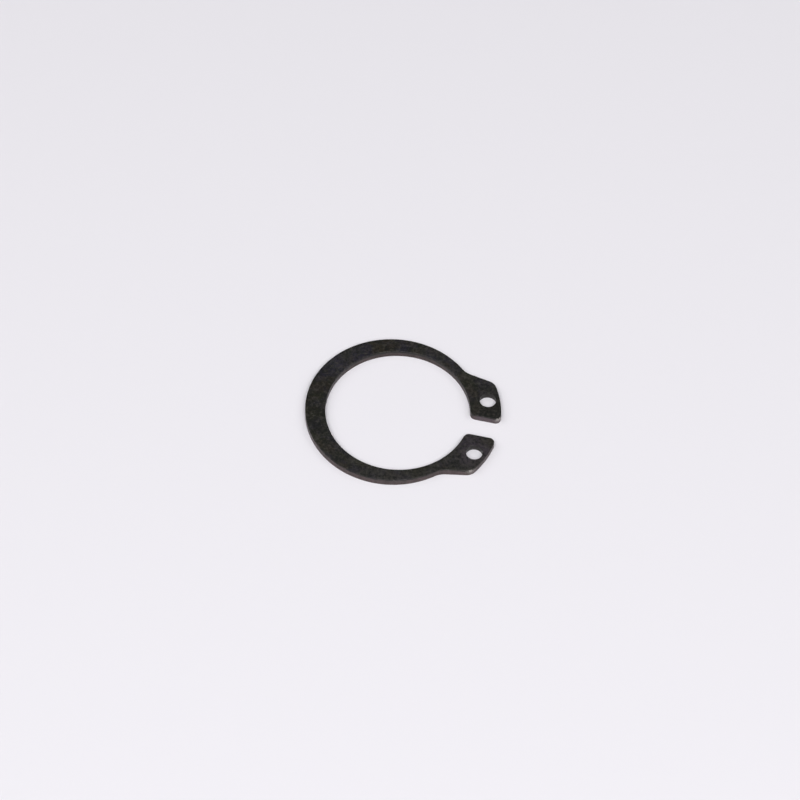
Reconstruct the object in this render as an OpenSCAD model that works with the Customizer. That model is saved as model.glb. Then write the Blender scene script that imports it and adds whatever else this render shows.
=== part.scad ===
// External circlip: an eccentric spring band that snaps into a groove
// around a shaft, with two lugs that a pair of plier tips spreads apart.
// Drawn in its free state, lying flat. The origin is the centre of the bore
// on the lower face, +X runs out through the gap and +Z is the bore axis.
// Millimetres throughout.

/* [Ring] */
// Bore of the free ring
bore_d = 18.5; // [18.2:0.1:18.9]
// Thickness of the spring strip
thickness = 1.0; // [0.8:0.05:1.2]
// Width of the band at its widest, opposite the gap
band_wide = 2.6; // [2.4:0.05:2.8]
// Width the taper would reach on the gap side, if the lugs were not there
band_narrow = 1.14; // [1:0.02:1.3]
// Break on every sheared edge
edge_break = 0.06; // [0.03:0.01:0.1]

/* [Lugs] */
// Width of the gap between the two lugs
gap_w = 2.95; // [2.6:0.05:3.2]
// Height of a lug over the bore
lug_h = 3.95; // [3.8:0.05:4.1]
// Where a lug's flank leaves the band, in degrees about the band's outer circle
flank_at = 44.8; // [43:0.1:46]
// Where the flank meets the lug's outer arc, in degrees about the bore
shoulder_at = 32.5; // [31:0.1:34]
// Radius of the hollow between band and flank
root_r = 2.7; // [1.5:0.1:3]
// Radius of the lug's shoulder
shoulder_r = 1.5; // [1.2:0.1:2.3]
// Radius of the lug's outer corner at the gap
tip_r = 0.7; // [0.5:0.05:1]
// Radius of the lug's inner corner at the gap
mouth_r = 0.78; // [0.5:0.02:1]

/* [Plier holes] */
// Diameter of a plier hole
hole_d = 2.1; // [1.9:0.05:2.3]
// Distance of a plier hole from the bore axis
hole_r = 11.64; // [11.5:0.02:11.8]
// Angle of a plier hole from the middle of the gap
hole_at = 21.1; // [20.5:0.1:22]

/* [Hidden] */
$fn = 180;
over = 0.3;                               // how far a cutter runs past a face
lap = 0.002;                              // how far a corner arc reaches through its two sides
bore_r = bore_d / 2;
body_r = bore_r + (band_wide + band_narrow) / 2;
body_c = [-(band_wide - band_narrow) / 2, 0];
lug_r = bore_r + lug_h;
gap_y = gap_w / 2;

function unit(v) = v / norm(v);
function polar(r, a) = [r * cos(a), r * sin(a)];
function turn(v) = [-v.y, v.x];
// How far from p along the unit vector d the circle of radius r about the
// origin is met.
function reach(p, d, r) = let (b = p * d) sqrt(b * b - p * p + r * r) - b;

// The flank is a straight line from the band to the shoulder.
flank_in = body_c + polar(body_r, flank_at);
flank_out = polar(lug_r, shoulder_at);
flank_d = unit(flank_out - flank_in);
flank_n = turn(flank_d);                  // points away from the lug
flank_a = atan2(flank_d.y, flank_d.x);

// Centres of the four corner arcs of a lug, each tangent to its two sides.
root_p = flank_in + root_r * flank_n;
root_c = root_p + flank_d * reach(root_p - body_c, flank_d, body_r + root_r);
shoulder_p = flank_out - shoulder_r * flank_n;
shoulder_c = shoulder_p + flank_d * reach(shoulder_p, flank_d, lug_r - shoulder_r);
tip_y = gap_y + tip_r;
tip_c = [sqrt(pow(lug_r - tip_r, 2) - tip_y * tip_y), tip_y];
mouth_y = gap_y + mouth_r;
mouth_c = [sqrt(pow(bore_r + mouth_r, 2) - mouth_y * mouth_y), mouth_y];

// A flat disc with both edges broken.
module disc(r) {
    rotate_extrude()
        polygon([[0, 0], [r - edge_break, 0], [r, edge_break],
                 [r, thickness - edge_break], [r - edge_break, thickness], [0, thickness]]);
}

// The same rim as a tool that runs past both faces.
module rim_tool(r) {
    k = edge_break + over;
    rotate_extrude()
        polygon([[0, -over], [r - k, -over], [r, edge_break],
                 [r, thickness - edge_break], [r - k, thickness + over], [0, thickness + over]]);
}

// A round cutter that leaves both edges of its hole broken.
module hole_tool(r) {
    k = edge_break + over;
    rotate_extrude()
        polygon([[0, -over], [r + k, -over], [r, edge_break],
                 [r, thickness - edge_break], [r + k, thickness + over], [0, thickness + over]]);
}

// The corner between two straight or curved sides: from the arc's centre c
// it covers the two touching points, in the directions u and v, and m beyond.
module corner_wedge(c, u, v, r, m) {
    w = unit(u + v);
    polygon([c, c + (r + m) * u, c + (r + m) / (w * u) * w, c + (r + m) * v]);
}

// What a convex corner loses to its arc.
module corner_tool(c, u, v, r) {
    difference() {
        translate([0, 0, -over / 2])
            linear_extrude(thickness + over)
                corner_wedge(c, u, v, r, 0.4);
        translate([c.x, c.y, 0]) rim_tool(r + lap);
    }
}

// Everything on the lug's side of the flank, out from the band.
module flank_side() {
    k = edge_break + over;
    translate([flank_in.x, flank_in.y, 0])
        rotate([0, 0, flank_a])
            translate([-2, 0, 0])
                rotate([90, 0, 90])
                    linear_extrude(12)
                        polygon([[-7, -over], [-k, -over], [0, edge_break],
                                 [0, thickness - edge_break], [-k, thickness + over],
                                 [-7, thickness + over]]);
}

// One lug, with its outer corners rounded and the hollow at its root filled.
module lug() {
    difference() {
        intersection() {
            disc(lug_r);
            flank_side();
        }
        corner_tool(shoulder_c, flank_n, unit(shoulder_c), shoulder_r);
        corner_tool(tip_c, [0, -1], unit(tip_c), tip_r);
    }
    difference() {
        linear_extrude(thickness)
            corner_wedge(root_c, -flank_n, unit(body_c - root_c), root_r, 0.4);
        translate([root_c.x, root_c.y, 0]) hole_tool(root_r + lap);
    }
}

// The slot between the lugs, with its edges broken.
module gap_tool() {
    k = edge_break + over;
    translate([bore_r - 3, 0, 0])
        rotate([90, 0, 90])
            linear_extrude(lug_h + 5)
                polygon([[-gap_y - k, -over], [gap_y + k, -over], [gap_y, edge_break],
                         [gap_y, thickness - edge_break], [gap_y + k, thickness + over],
                         [-gap_y - k, thickness + over], [-gap_y, thickness - edge_break],
                         [-gap_y, edge_break]]);
}

// What one side of the ring loses: its plier hole and the corner at the bore.
module side_tool() {
    corner_tool(mouth_c, [0, -1], -unit(mouth_c), mouth_r);
    translate([hole_r * cos(hole_at), hole_r * sin(hole_at), 0])
        hole_tool(hole_d / 2);
}

module ring() {
    color([0.165, 0.169, 0.149])
    difference() {
        union() {
            translate([body_c.x, body_c.y, 0]) disc(body_r);
            lug();
            mirror([0, 1, 0]) lug();
        }
        hole_tool(bore_r);
        gap_tool();
        side_tool();
        mirror([0, 1, 0]) side_tool();
    }
}

ring();
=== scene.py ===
from math import sin, cos, atan2, radians, pi, sqrt, ceil
import bpy
import bmesh
from mathutils import Vector, Matrix, noise
from mathutils.geometry import delaunay_2d_cdt


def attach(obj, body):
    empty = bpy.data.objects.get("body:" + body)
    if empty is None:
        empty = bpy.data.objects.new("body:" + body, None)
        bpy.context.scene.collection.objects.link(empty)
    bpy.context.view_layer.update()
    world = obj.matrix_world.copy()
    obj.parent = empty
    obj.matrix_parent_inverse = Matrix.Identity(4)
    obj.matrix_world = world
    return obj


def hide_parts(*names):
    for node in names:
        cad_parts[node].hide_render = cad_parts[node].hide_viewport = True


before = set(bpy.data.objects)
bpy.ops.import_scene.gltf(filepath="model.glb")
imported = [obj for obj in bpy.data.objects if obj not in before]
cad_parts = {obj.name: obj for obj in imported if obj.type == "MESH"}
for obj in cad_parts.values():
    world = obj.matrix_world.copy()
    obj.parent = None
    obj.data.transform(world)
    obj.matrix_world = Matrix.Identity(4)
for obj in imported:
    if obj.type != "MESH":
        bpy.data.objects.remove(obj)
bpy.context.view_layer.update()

MM = 0.001

# ---------------------------------------------------------------- the ring's outline, mm
bore_r = 9.25
thick = 1.0
body_r = bore_r + (2.6 + 1.14) / 2
body_c = Vector((-(2.6 - 1.14) / 2, 0.0))
lug_r = bore_r + 3.95
gap_y = 2.95 / 2
flank_at, shoulder_at = radians(44.8), radians(32.5)
root_r, shoulder_r, tip_r, mouth_r = 2.7, 1.5, 0.7, 0.78
hole_rad, hole_r, hole_at = 1.05, 11.64, radians(21.1)


def polar(r, a):
    return Vector((r * cos(a), r * sin(a)))


def angle(v):
    return atan2(v.y, v.x)


def reach(p, d, r):
    b = p.dot(d)
    return sqrt(b * b - p.dot(p) + r * r) - b


flank_in = body_c + polar(body_r, flank_at)
flank_out = polar(lug_r, shoulder_at)
flank_d = (flank_out - flank_in).normalized()
flank_n = Vector((-flank_d.y, flank_d.x))
root_p = flank_in + root_r * flank_n
root_c = root_p + flank_d * reach(root_p - body_c, flank_d, body_r + root_r)
shoulder_p = flank_out - shoulder_r * flank_n
shoulder_c = shoulder_p + flank_d * reach(shoulder_p, flank_d, lug_r - shoulder_r)
tip_y = gap_y + tip_r
tip_c = Vector((sqrt((lug_r - tip_r) ** 2 - tip_y ** 2), tip_y))
mouth_y = gap_y + mouth_r
mouth_c = Vector((sqrt((bore_r + mouth_r) ** 2 - mouth_y ** 2), mouth_y))

STEP = 0.11          # spacing of the outline's points


def arc(c, r, a0, a1, bulge=1.0, step=STEP):
    """Points and outward normals along an arc of normal angles a0 to a1. bulge -1 is a hollow corner."""
    n = max(3, int(ceil(abs(a1 - a0) * r / min(step, 0.22 * r))))
    out = []
    for i in range(n):
        a = a0 + (a1 - a0) * i / n
        nrm = polar(1.0, a)
        out.append((c + nrm * r * bulge, nrm))
    return out


def line(a, b, nrm):
    n = max(2, int(ceil((b - a).length / STEP)))
    return [(a.lerp(b, i / n), nrm.copy()) for i in range(n)]


def half_outline():
    """The upper half, from the back of the bore to the back of the band, material on the left."""
    pts = []
    a_mouth = angle(mouth_c)
    # the bore, walked from the back towards the gap: its outward normal points at the axis
    n = int(ceil((pi - a_mouth) * bore_r / STEP))
    for i in range(n):
        a = pi - (pi - a_mouth) * i / n
        pts.append((polar(bore_r, a), -polar(1.0, a)))
    pts += arc(mouth_c, mouth_r, a_mouth + pi, 1.5 * pi)
    pts += line(Vector((mouth_c.x, gap_y)), Vector((tip_c.x, gap_y)), Vector((0.0, -1.0)))
    pts += arc(tip_c, tip_r, -0.5 * pi, angle(tip_c))
    pts += arc(Vector((0.0, 0.0)), lug_r, angle(tip_c), angle(shoulder_c))
    pts += arc(shoulder_c, shoulder_r, angle(shoulder_c), angle(flank_n))
    pts += line(shoulder_c + flank_n * shoulder_r, root_c - flank_n * root_r, flank_n)
    a_root = angle(root_c - body_c)
    pts += arc(root_c, root_r, angle(flank_n), a_root, bulge=-1.0)
    pts += arc(body_c, body_r, a_root, pi)
    return pts


def outline():
    up = half_outline()
    back = (body_c + Vector((-body_r, 0.0)), Vector((-1.0, 0.0)))
    low = [(Vector((p.x, -p.y)), Vector((m.x, -m.y))) for p, m in reversed(up[1:])]
    return up + [back] + low


# ---------------------------------------------------------------- the edge's section, mm
# (how far in from the outline, height). The die draws the upper edge down into a soft
# roll, the middle of the wall is burnished and the lower part breaks off, leaning in by
# break_out, down to a lower edge that is only tumbled.
SHY = 0.006                     # the whole wall stands this far inside the nominal outline


def section(roll_w, roll_d, break_out, soft):
    rows = [(SHY + roll_w + 0.06, thick)]
    for k in range(10):
        t = radians(90.0 * k / 9)
        rows.append((SHY + roll_w * (1 - sin(t)), thick - roll_d * (1 - cos(t))))
    for z in (0.78, 0.70, 0.62, 0.55):
        rows.append((SHY, z))
    for k in range(8):
        f = k / 7
        rows.append((SHY + break_out * f, 0.49 - (0.49 - soft - 0.02) * f))
    last = SHY + break_out
    for k in range(1, 6):
        t = radians(90.0 * k / 5)
        rows.append((last + soft * (1 - cos(t)), soft * (1 - sin(t))))
    rows.append((last + soft + 0.05, 0.0))
    return rows


def jag(p, z):
    """How much the broken part of the wall wanders in and out, mm."""
    if z < 0.04 or z > 0.50:
        return 0.0
    v = Vector((p.x * 3.1, p.y * 3.1, z * 4.0))
    w = Vector((p.x * 11.0, p.y * 11.0, z * 9.0 + 5.0))
    return 0.006 * (0.5 + 0.5 * noise.noise(v)) + 0.003 * (0.5 + 0.5 * noise.noise(w))


def build_ring():
    bm = bmesh.new()
    loops = [(outline(), section(0.12, 0.11, 0.003, 0.02))]
    for s in (1, -1):
        c = Vector((hole_r * cos(hole_at), s * hole_r * sin(hole_at)))
        n = 96
        loops.append(([(c + polar(hole_rad, -2 * pi * i / n), -polar(1.0, -2 * pi * i / n)) for i in range(n)],
                      section(0.05, 0.05, 0.06, 0.02)))
    top, bottom = [], []
    for loop, rows in loops:
        rings = []
        for inset, z in rows:
            rings.append([bm.verts.new(((p.x - nrm.x * (inset + jag(p, z))) * MM,
                                        (p.y - nrm.y * (inset + jag(p, z))) * MM, z * MM)) for p, nrm in loop])
        n = len(loop)
        for a, b in zip(rings, rings[1:]):
            for i in range(n):
                j = (i + 1) % n
                bm.faces.new((a[i], b[i], b[j], a[j]))
        top.append(rings[0])
        bottom.append(rings[-1])
    for rings, up in ((top, True), (bottom, False)):
        verts = [v for r in rings for v in r]
        co = [Vector((v.co.x / MM, v.co.y / MM)) for v in verts]
        edges, start = [], 0
        for r in rings:
            edges += [(start + i, start + (i + 1) % len(r)) for i in range(len(r))]
            start += len(r)
        out = delaunay_2d_cdt(co, edges, [], 0, 1e-6)
        new_co, new_faces, origin = out[0], out[2], out[3]
        polys, start = [], 0
        for r in rings:
            polys.append(co[start:start + len(r)])
            start += len(r)
        for f in new_faces:
            c = sum((Vector(new_co[i]) for i in f), Vector((0, 0))) / len(f)
            if not inside(c, polys[0]) or any(inside(c, h) for h in polys[1:]):
                continue
            vs = [verts[origin[i][0]] for i in f]
            bm.faces.new(vs if up else list(reversed(vs)))
    bm.normal_update()
    bmesh.ops.recalc_face_normals(bm, faces=bm.faces)
    me = bpy.data.meshes.new("ring_blank")
    bm.to_mesh(me)
    bm.free()
    for p in me.polygons:
        p.use_smooth = True
    return me


def inside(p, poly):
    hit = False
    j = len(poly) - 1
    for i in range(len(poly)):
        a, b = poly[i], poly[j]
        if (a.y > p.y) != (b.y > p.y) and p.x < (b.x - a.x) * (p.y - a.y) / (b.y - a.y) + a.x:
            hit = not hit
        j = i
    return hit


# ---------------------------------------------------------------- materials
class Graph:
    def __init__(self, name):
        self.mat = bpy.data.materials.new(name)
        self.mat.use_nodes = True
        self.nt = self.mat.node_tree
        self.nt.nodes.clear()
        self.out = self.nt.nodes.new("ShaderNodeOutputMaterial")

    def node(self, kind, **props):
        n = self.nt.nodes.new(kind)
        for k, v in props.items():
            setattr(n, k, v)
        return n

    def put(self, socket, v):
        if isinstance(v, bpy.types.NodeSocket):
            self.nt.links.new(v, socket)
        else:
            socket.default_value = v

    def math(self, op, a, b=0.0, c=0.0, clamp=False):
        n = self.node("ShaderNodeMath", operation=op, use_clamp=clamp)
        for s, v in zip(n.inputs, (a, b, c)):
            self.put(s, v)
        return n.outputs[0]

    def ramp(self, v, lo, hi, out_lo=0.0, out_hi=1.0, smooth=True):
        n = self.node("ShaderNodeMapRange", interpolation_type="SMOOTHSTEP" if smooth else "LINEAR", clamp=True)
        for s, x in zip(n.inputs, (v, lo, hi, out_lo, out_hi)):
            self.put(s, x)
        return n.outputs[0]

    def noise(self, vec, scale, detail=2.0, rough=0.5, distort=0.0):
        n = self.node("ShaderNodeTexNoise")
        self.put(n.inputs["Vector"], vec)
        n.inputs["Scale"].default_value = scale
        n.inputs["Detail"].default_value = detail
        n.inputs["Roughness"].default_value = rough
        n.inputs["Distortion"].default_value = distort
        return n.outputs["Fac"]

    def mix(self, f, a, b):
        n = self.node("ShaderNodeMix", data_type="RGBA")
        self.put(n.inputs["Factor"], f)
        for s, v in ((n.inputs[6], a), (n.inputs[7], b)):
            self.put(s, v)
        return n.outputs[2]

    def vec(self, op, a, b=(0, 0, 0)):
        n = self.node("ShaderNodeVectorMath", operation=op)
        self.put(n.inputs[0], a)
        self.put(n.inputs[1], b)
        return n.outputs["Value"] if op in ("LENGTH", "DISTANCE", "DOT_PRODUCT") else n.outputs["Vector"]


# the corners where the oxide is rubbed through, their bare metal also painted bright as a highlight: x, y, z and
# radius, mm
WORN_GLINT_CORNERS = [
    (12.84, 1.64, 0.84, 0.46),
    (11.12, -7.11, 0.84, 0.54),
]
# broad patches where the faces are made paler or darker: x, y and radius, mm, then how much
# and the tone
PALE, BLUE, VIOLET, DARK = ((0.044, 0.041, 0.046, 1), (0.040, 0.036, 0.054, 1),
                            (0.048, 0.037, 0.051, 1), (0.0030, 0.0034, 0.0012, 1))
PATCHES = [
    (11.0, -4.0, 3.3, 0.35, VIOLET),
    (1.0, -10.6, 3.8, 0.12, PALE),
    (3.0, 10.0, 4.0, 0.11, BLUE),
    (-9.0, 6.4, 3.8, 0.13, BLUE),
    (-10.4, -3.2, 4.8, 0.22, DARK),
    (11.6, 2.8, 3.4, 0.42, DARK),
]


def spring_steel():
    g = Graph("spring_steel")
    co = g.node("ShaderNodeTexCoord").outputs["Object"]
    mm = g.vec("MULTIPLY", co, (1000.0, 1000.0, 1000.0))
    xyz = g.node("ShaderNodeSeparateXYZ")
    g.put(xyz.inputs[0], mm)
    x, y, z = xyz.outputs
    nrm = g.node("ShaderNodeSeparateXYZ")
    g.put(nrm.inputs[0], g.node("ShaderNodeNewGeometry").outputs["True Normal"])
    up = g.math("ABSOLUTE", nrm.outputs[2])
    wall = g.ramp(up, 0.60, 0.15)                   # 1 on the sheared walls, 0 on the faces
    edge = g.math("MULTIPLY", g.ramp(up, 0.98, 0.80), g.ramp(up, 0.10, 0.40))

    # tone of the flat faces: a mottled charcoal oxide that drifts, over a few millimetres,
    # between olive, brown and blue, and grows paler towards +x, -y
    tint = g.noise(g.vec("ADD", mm, (3.0, 17.0, 5.0)), 0.34, 4.0, 0.62)
    warm = g.noise(g.vec("ADD", mm, (31.0, 7.0, 3.0)), 0.42, 4.0, 0.62)
    drift = g.noise(mm, 0.95, 4.0, 0.70)
    mottle = g.noise(mm, 2.7, 5.0, 0.78)
    speck = g.noise(mm, 9.0, 2.0, 0.6)
    across = g.math("SUBTRACT", g.math("MULTIPLY", x, 0.70), g.math("MULTIPLY", y, 0.70))
    face = g.mix(g.ramp(tint, 0.40, 0.60), (0.0086, 0.0098, 0.0010, 1), (0.0090, 0.0077, 0.0182, 1))
    face = g.mix(g.ramp(warm, 0.50, 0.62, 0.0, 0.85), face, (0.0162, 0.0110, 0.0052, 1))
    face = g.mix(g.ramp(warm, 0.46, 0.34, 0.0, 0.80), face, (0.0050, 0.0080, 0.0036, 1))
    face = g.mix(g.ramp(across, -9.0, 12.0, 0.0, 0.54, smooth=False), face, (0.0258, 0.0240, 0.0205, 1))
    for px, py, r, much, tone in PATCHES:
        d = g.vec("DISTANCE", g.vec("MULTIPLY", mm, (1.0, 1.0, 0.0)), (px, py, 0.0))
        d = g.math("ADD", d, g.ramp(warm, 0.35, 0.65, -0.6, 0.6, smooth=False))
        face = g.mix(g.ramp(d, r, r * 0.2, 0.0, 2.2 * much), face, tone)
    face = g.mix(g.ramp(drift, 0.50, 0.34, 0.0, 0.80), face, (0.0042, 0.0050, 0.0034, 1))
    face = g.mix(g.ramp(drift, 0.51, 0.66, 0.0, 0.75), face, (0.0330, 0.0285, 0.0270, 1))
    face = g.mix(g.ramp(mottle, 0.52, 0.37, 0.0, 0.98), face, (0.0012, 0.0014, 0.0012, 1))
    face = g.mix(g.ramp(mottle, 0.51, 0.65, 0.0, 0.90), face, (0.0445, 0.0420, 0.0365, 1))
    face = g.mix(g.ramp(speck, 0.58, 0.76, 0.0, 0.30), face, (0.044, 0.043, 0.038, 1))
    grain = g.noise(mm, 24.0, 3.0, 0.65)
    face = g.mix(g.ramp(grain, 0.50, 0.34, 0.0, 0.40), face, (0.0012, 0.0013, 0.0011, 1))
    face = g.mix(g.ramp(grain, 0.52, 0.70, 0.0, 0.30), face, (0.036, 0.035, 0.031, 1))
    # hairlines from handling, short and broken, lying four ways
    for k, (turn, fine, much) in enumerate(((18, 13.0, 0.30), (74, 17.0, 0.22), (121, 12.0, 0.26), (152, 20.0, 0.20))):
        c, s = cos(radians(turn)), sin(radians(turn))
        line = g.node("ShaderNodeCombineXYZ")
        g.put(line.inputs[0], g.math("ADD", g.math("MULTIPLY", x, 0.40 * c), g.math("MULTIPLY", y, 0.40 * s)))
        g.put(line.inputs[1], g.math("ADD", g.math("MULTIPLY", x, -fine * s), g.math("MULTIPLY", y, fine * c)))
        line.inputs[2].default_value = 3.7 * k
        n = g.noise(line.outputs[0], 1.0, 2.0, 0.5)
        face = g.mix(g.ramp(n, 0.665, 0.725, 0.0, much), face, (0.105, 0.101, 0.094, 1))

    # the walls: as dark as the face over the roll, then thinner oxide over sheared metal,
    # palest where it broke, streaked from top to bottom
    streak = g.noise(g.vec("MULTIPLY", mm, (1.0, 1.0, 0.12)), 9.0, 3.0, 0.6)
    broad = g.noise(g.vec("MULTIPLY", mm, (1.0, 1.0, 0.25)), 0.9, 3.0, 0.6)
    side = g.mix(g.ramp(broad, 0.32, 0.68), (0.043, 0.030, 0.028, 1), (0.080, 0.055, 0.056, 1))
    side = g.mix(g.ramp(streak, 0.45, 0.75, 0.0, 0.35), side, (0.112, 0.082, 0.078, 1))
    side = g.mix(g.ramp(z, 0.45, 0.12, 0.0, 0.30), side, (0.115, 0.084, 0.078, 1))
    # the bore's walls stay dark over more of their height, and the plier holes' walls are painted dark as shade
    flat_r = g.vec("LENGTH", g.vec("MULTIPLY", mm, (1.0, 1.0, 0.0)))
    bore = g.ramp(flat_r, 9.75, 9.55)
    uneven = g.ramp(g.noise(g.vec("MULTIPLY", mm, (1.0, 1.0, 0.2)), 0.55, 3.0, 0.6), 0.30, 0.70, -0.12, 0.10, smooth=False)
    low = g.math("ADD", z, g.math("ADD", g.math("MULTIPLY", bore, 0.18), uneven))
    side = g.mix(g.ramp(low, 0.74, 0.98), side, (0.013, 0.012, 0.010, 1))
    # the two ends that face each other across the gap parted last and are palest
    ends = g.math("MULTIPLY", g.ramp(g.math("ABSOLUTE", y), gap_y + 0.5, gap_y + 0.2), g.ramp(x, 9.6, 10.0))
    side = g.mix(g.math("MULTIPLY", ends, g.ramp(low, 1.0, 0.80, 0.0, 0.22)), side, (0.125, 0.100, 0.140, 1))
    # painted shade: the walls of the plier holes are painted nearly black for the shade inside them, and the bore's
    # walls a little darker
    bore_dark_hole_shade = g.math("MULTIPLY", bore, 0.26)
    for s in (1, -1):
        at = (hole_r * cos(hole_at), s * hole_r * sin(hole_at), 0.0)
        d = g.vec("DISTANCE", g.vec("MULTIPLY", mm, (1.0, 1.0, 0.0)), at)
        bore_dark_hole_shade = g.math("MAXIMUM", bore_dark_hole_shade, g.ramp(d, hole_rad + 0.30, hole_rad + 0.15, 0.0, 0.90))
    side = g.mix(bore_dark_hole_shade, side, (0.012, 0.011, 0.009, 1))
    colour = g.mix(wall, face, side)

    # wear: the oxide is rubbed thin along the edges in broken lengths and through at the
    # two corners of the lugs that stand proudest; the corner spots and the paler wall around them are also a painted
    # highlight
    rub = g.noise(g.vec("ADD", mm, (0.0, 0.0, 11.0)), 1.9, 4.0, 0.65)
    wear_and_glint = g.math("MULTIPLY", edge, g.ramp(rub, 0.52, 0.74, 0.0, 0.16))
    chip = g.noise(mm, 4.5, 4.0, 0.7)
    for cx, cy, cz, r in WORN_GLINT_CORNERS:
        d = g.vec("DISTANCE", mm, (cx, cy, cz))
        ragged = g.math("ADD", d, g.ramp(chip, 0.3, 0.7, 0.25, -0.25, smooth=False))
        # each corner spot is worn bare metal and a painted highlight, and the halo pales the wall around it as painted
        # light
        glint_spot = g.math("MULTIPLY", g.ramp(ragged, r, r * 0.3), g.ramp(grain, 0.30, 0.60, 0.57, 0.80))
        glint_halo = g.math("MULTIPLY", g.ramp(ragged, r * 2.0, r * 0.5, 0.0, 0.30), wall)
        wear_and_glint = g.math("MAXIMUM", wear_and_glint, g.math("MULTIPLY", glint_spot, g.ramp(up, 0.99, 0.80)))
        wear_and_glint = g.math("MAXIMUM", wear_and_glint, glint_halo)
    colour = g.mix(wear_and_glint, colour, (0.46, 0.43, 0.40, 1))

    rough = g.ramp(mottle, 0.32, 0.68, 0.62, 0.46)
    rough = g.math("ADD", rough, g.math("MULTIPLY", wall, -0.06))
    rough = g.math("ADD", rough, g.math("MULTIPLY", wear_and_glint, -0.10))

    # relief: fine crystal grain on the faces, draw lines on the burnished wall and torn
    # metal below it
    broke = g.ramp(z, 0.56, 0.44)
    lay = g.noise(g.vec("MULTIPLY", mm, (0.35, 6.0, 1.0)), 2.2, 3.0, 0.6)
    torn = g.noise(mm, 14.0, 4.0, 0.7)
    h_face = g.math("ADD", g.math("MULTIPLY", grain, 0.0011), g.math("MULTIPLY", lay, 0.0008))
    h_face = g.math("ADD", h_face, g.math("MULTIPLY", mottle, 0.0040))
    h_wall = g.math("ADD", g.math("MULTIPLY", streak, 0.0030),
                    g.math("MULTIPLY", g.math("MULTIPLY", torn, broke), 0.0060))
    height = g.node("ShaderNodeMix", data_type="FLOAT")
    g.put(height.inputs[0], wall)
    g.put(height.inputs[2], h_face)
    g.put(height.inputs[3], h_wall)
    bump = g.node("ShaderNodeBump")
    bump.inputs["Strength"].default_value = 0.8
    bump.inputs["Distance"].default_value = 0.001
    g.put(bump.inputs["Height"], height.outputs[0])

    b = g.node("ShaderNodeBsdfPrincipled")
    g.put(b.inputs["Base Color"], colour)
    g.put(b.inputs["Roughness"], rough)
    g.put(b.inputs["Metallic"], wear_and_glint)
    g.put(b.inputs["Normal"], bump.outputs["Normal"])
    b.inputs["IOR"].default_value = 1.5
    b.inputs["Specular IOR Level"].default_value = 0.30
    g.nt.links.new(b.outputs[0], g.out.inputs[0])
    return g.mat


ring = bpy.data.objects.new("retaining_ring", build_ring())
bpy.context.scene.collection.objects.link(ring)
ring.data.materials.append(spring_steel())
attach(ring, "root")
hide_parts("ring")

# ---------------------------------------------------------------- floor
floor_me = bpy.data.meshes.new("floor")
bm = bmesh.new()
bmesh.ops.create_grid(bm, x_segments=8, y_segments=8, size=2.0)
bm.to_mesh(floor_me)
bm.free()
floor = bpy.data.objects.new("floor", floor_me)
bpy.context.scene.collection.objects.link(floor)
g = Graph("floor_paint")
b = g.node("ShaderNodeBsdfPrincipled")
b.inputs["Base Color"].default_value = (0.80, 0.782, 0.824, 1)
b.inputs["Roughness"].default_value = 0.9
b.inputs["Specular IOR Level"].default_value = 0.2
g.nt.links.new(b.outputs[0], g.out.inputs[0])
floor_me.materials.append(g.mat)

# ---------------------------------------------------------------- light
world = bpy.data.worlds.new("studio")
bpy.context.scene.world = world
world.use_nodes = True
bg = world.node_tree.nodes["Background"]
bg.inputs[0].default_value = (1.0, 1.0, 1.0, 1)
bg.inputs[1].default_value = 0.11


def area(name, at, size, power, colour=(1, 1, 1)):
    d = bpy.data.lights.new(name, "AREA")
    d.shape = "RECTANGLE"
    d.size, d.size_y = size
    d.energy = power
    d.color = colour
    o = bpy.data.objects.new(name, d)
    bpy.context.scene.collection.objects.link(o)
    o.location = at
    o.rotation_mode = "QUATERNION"
    o.rotation_quaternion = Vector(at).to_track_quat("Z", "Y")
    return o


area("key", (0.08, -0.45, 0.75), (0.7, 0.5), 7.0)
area("left", (-0.52, -0.10, 0.62), (0.5, 0.5), 1.35)
area("right", (0.52, 0.06, 0.62), (0.5, 0.5), 1.35)

# ---------------------------------------------------------------- camera
F = 3500.0                                  # focal length in pixels of the 800 px frame
AZ, EL, TILT = radians(10.73), radians(54.15), radians(2.377)
DIST = 447.11 * MM
U0, V0 = 397.68, 414.272                    # where the bore's centre, at z = 0, is seen
back = Vector((sin(AZ) * cos(EL), -cos(AZ) * cos(EL), sin(EL)))
right = Vector((cos(AZ), sin(AZ), 0.0))
upv = back.cross(right)
r2 = cos(TILT) * right + sin(TILT) * upv
u2 = -sin(TILT) * right + cos(TILT) * upv
cx, cy = (U0 - 400.0) / F * DIST, (400.0 - V0) / F * DIST
cam_data = bpy.data.cameras.new("camera")
cam_data.sensor_width = 36.0
cam_data.lens = 36.0 * F / 800.0
cam_data.clip_start, cam_data.clip_end = 0.01, 20.0
cam = bpy.data.objects.new("camera", cam_data)
bpy.context.scene.collection.objects.link(cam)
rot = Matrix((r2, u2, back)).transposed()
cam.matrix_world = Matrix.Translation(back * DIST - r2 * cx - u2 * cy) @ rot.to_4x4()
bpy.context.scene.camera = cam
bpy.context.scene.view_settings.view_transform = "Standard"
bpy.context.scene.view_settings.look = "None"
bpy.context.view_layer.update()
